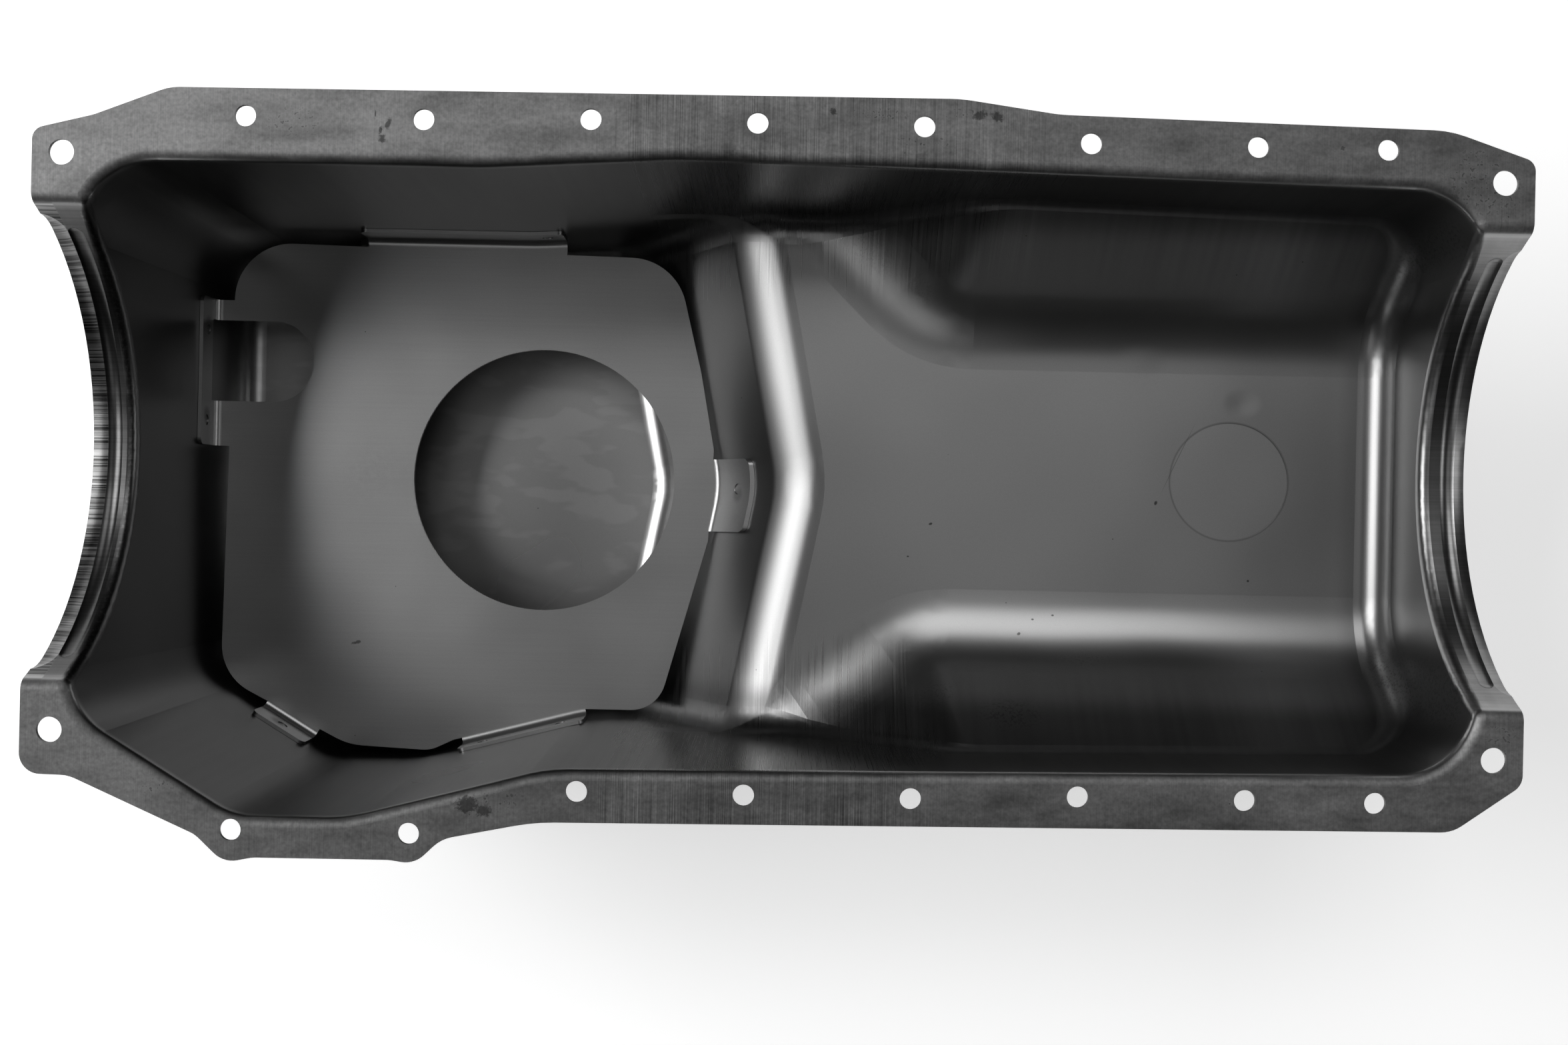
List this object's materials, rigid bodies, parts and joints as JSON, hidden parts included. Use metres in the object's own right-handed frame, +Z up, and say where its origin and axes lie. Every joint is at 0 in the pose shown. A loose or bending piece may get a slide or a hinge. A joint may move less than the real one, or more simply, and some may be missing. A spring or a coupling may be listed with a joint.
{
  "type": "engine oil pan",
  "caption": "Deep-drawn steel oil pan with a deep sump at one end, a shallow shelf with sloping banks, arched end rails and a spot-welded baffle plate over the sump.",
  "frame": {"origin": "on the flange's sealing plane, at the centre of the four corner bolt holes, below the crankshaft's axis", "axes": "+Z up towards the engine block, +X from the deep sump to the shallow end"},
  "size_m": [0.562, 0.2905, 0.1836],
  "materials": {
    "pressed_steel": "oiled bare pressed steel with draw marks and stains",
    "plug_steel": "plated",
    "fibre": "matt"
  },
  "bodies": {
    "root": {"pan_shell": "pressed_steel", "baffle_plate": "pressed_steel", "drain_bung": "pressed_steel", "drain_plug": "plug_steel", "drain_gasket": "fibre"}
  },
  "joints": []
}
